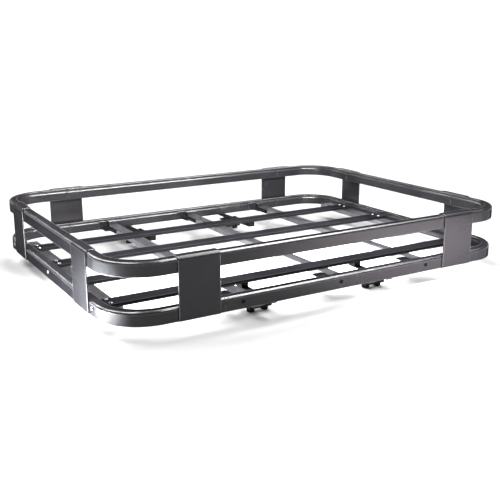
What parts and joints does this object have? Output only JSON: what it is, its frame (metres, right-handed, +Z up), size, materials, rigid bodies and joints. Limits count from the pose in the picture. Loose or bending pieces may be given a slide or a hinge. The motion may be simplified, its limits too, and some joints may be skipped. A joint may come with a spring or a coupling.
{
  "type": "roof basket",
  "caption": "Low open roof basket: two rounded rectangular rings of tube joined by flat plates, over a floor of slats and cross bars, with bolted clamps below.",
  "frame": {"origin": "centre of the bounding box, at the level of the clamps' lowest points", "axes": "+X along the basket's length, +Y towards its back long side, +Z up"},
  "size_m": [1.407, 1.082, 0.2235],
  "materials": {
    "rail_coat": "satin graphite powder coat",
    "slat_coat": "fine matt black powder coat",
    "bare_aluminium": "mill finish",
    "clamp_steel": "matt black",
    "bolt_steel": "zinc plated"
  },
  "bodies": {
    "root": {"angles": "clamp_steel", "bolts_back_left": "bolt_steel", "bolts_back_right": "bolt_steel", "bolts_front_left": "bolt_steel", "bolts_front_right": "bolt_steel", "cross_bar_1": "bare_aluminium", "cross_bar_2": "bare_aluminium", "cross_bar_3": "bare_aluminium", "end_bar_left": "bare_aluminium", "end_bar_right": "bare_aluminium", "hanger_back_left": "clamp_steel", "hanger_back_right": "clamp_steel", "hanger_front_left": "clamp_steel", "hanger_front_right": "clamp_steel", "jaw_back_left": "clamp_steel", "jaw_back_right": "clamp_steel", "jaw_front_left": "clamp_steel", "jaw_front_right": "clamp_steel", "lower_back_left_bend": "rail_coat", "lower_back_rail": "rail_coat", "lower_back_right_bend": "rail_coat", "lower_front_left_bend": "rail_coat", "lower_front_rail": "rail_coat", "lower_front_right_bend": "rail_coat", "lower_left_rail": "rail_coat", "lower_right_rail": "rail_coat", "plate_back_left": "rail_coat", "plate_back_right": "rail_coat", "plate_front_left": "rail_coat", "plate_front_right": "rail_coat", "plate_left_back": "rail_coat", "plate_left_front": "rail_coat", "plate_right_back": "rail_coat", "plate_right_front": "rail_coat", "slat_1": "slat_coat", "slat_2": "slat_coat", "slat_3": "slat_coat", "slat_4": "slat_coat", "upper_back_left_bend": "rail_coat", "upper_back_rail": "rail_coat", "upper_back_right_bend": "rail_coat", "upper_front_left_bend": "rail_coat", "upper_front_rail": "rail_coat", "upper_front_right_bend": "rail_coat", "upper_left_rail": "rail_coat", "upper_right_rail": "rail_coat"}
  },
  "joints": []
}
